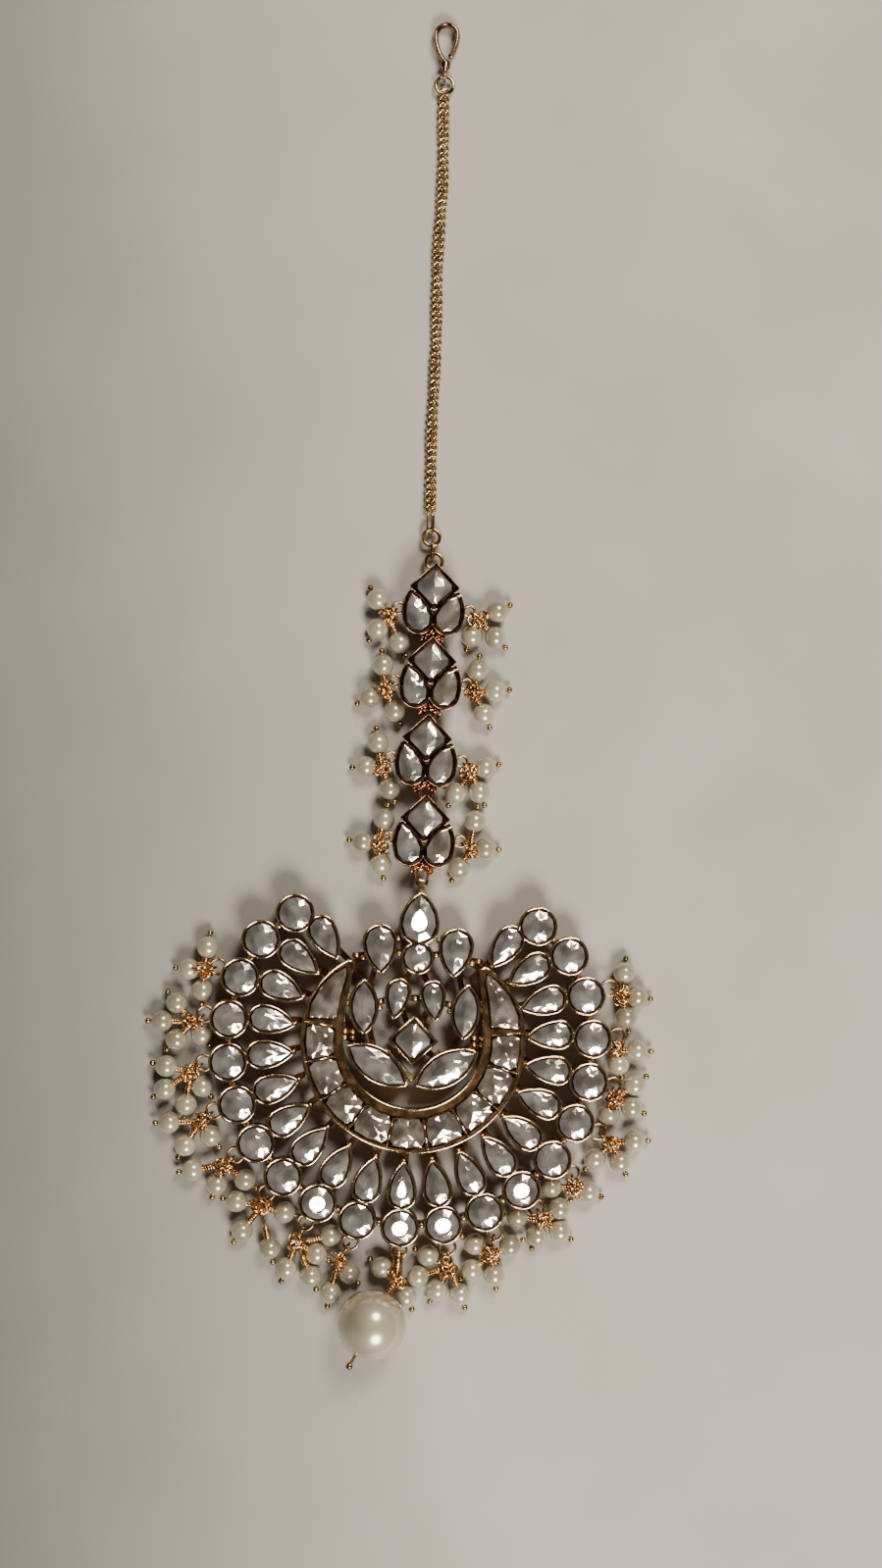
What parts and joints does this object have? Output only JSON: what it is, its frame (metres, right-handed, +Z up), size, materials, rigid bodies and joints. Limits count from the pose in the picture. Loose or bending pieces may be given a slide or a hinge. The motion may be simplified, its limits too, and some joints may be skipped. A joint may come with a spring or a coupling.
{
  "type": "maang tikka",
  "caption": "Forehead jewel lying on its back: crescent pendant of foiled stones in metal collets with pearl clusters at its rim, stone-set links, slim chain and hair hook.",
  "frame": {"origin": "middle of the foot of the jewel's box, on the surface that it lies on", "axes": "+Y runs along the jewel from the drop pearl to the hair hook, +Z points up from the surface to the stones"},
  "size_m": [0.07, 0.1832, 0.0094],
  "materials": {
    "setting_metal": "polished pale rose-gold plating, oxidised dark inside the collets",
    "finding_metal": "polished light brown-gold wire",
    "chain_metal": "polished light brown-gold chain",
    "pin_wire": "copper-gold wire, bright drawn",
    "stone_glass": "clear cut glass with silver foil behind",
    "pearl": "imitation pearl lustre"
  },
  "bodies": {
    "root": {"chain": "chain_metal", "chain_end_link": "finding_metal", "chain_ring_joint": "finding_metal", "chain_ring_lower": "finding_metal", "chain_ring_upper": "finding_metal", "crescent_stones": "stone_glass", "crown_left_stone": "stone_glass", "crown_pear_stone": "stone_glass", "crown_right_stone": "stone_glass", "crown_round_stone": "stone_glass", "drop_pearl": "pearl", "drop_pin": "pin_wire", "drop_small_pearls": "pearl", "fan_pear_stones": "stone_glass", "fan_round_stones": "stone_glass", "hair_hook": "finding_metal", "hook_ring": "finding_metal", "link_1_frame": "setting_metal", "link_1_left_stone": "stone_glass", "link_1_right_stone": "stone_glass", "link_1_square_stone": "stone_glass", "link_2_frame": "setting_metal", "link_2_left_stone": "stone_glass", "link_2_right_stone": "stone_glass", "link_2_square_stone": "stone_glass", "link_3_frame": "setting_metal", "link_3_left_stone": "stone_glass", "link_3_right_stone": "stone_glass", "link_3_square_stone": "stone_glass", "link_4_frame": "setting_metal", "link_4_left_stone": "stone_glass", "link_4_right_stone": "stone_glass", "link_4_square_stone": "stone_glass", "link_pearls": "pearl", "link_pins": "pin_wire", "link_ring_1": "finding_metal", "link_ring_2": "finding_metal", "link_ring_3": "finding_metal", "lotus_left_leaf_stone": "stone_glass", "lotus_left_navette_stone": "stone_glass", "lotus_left_pear_stone": "stone_glass", "lotus_right_leaf_stone": "stone_glass", "lotus_right_navette_stone": "stone_glass", "lotus_right_pear_stone": "stone_glass", "lotus_square_stone": "stone_glass", "pendant_frame": "setting_metal", "pendant_ring": "finding_metal", "rim_pearls_left": "pearl", "rim_pearls_right": "pearl", "rim_pins_left": "pin_wire", "rim_pins_right": "pin_wire"}
  },
  "joints": []
}
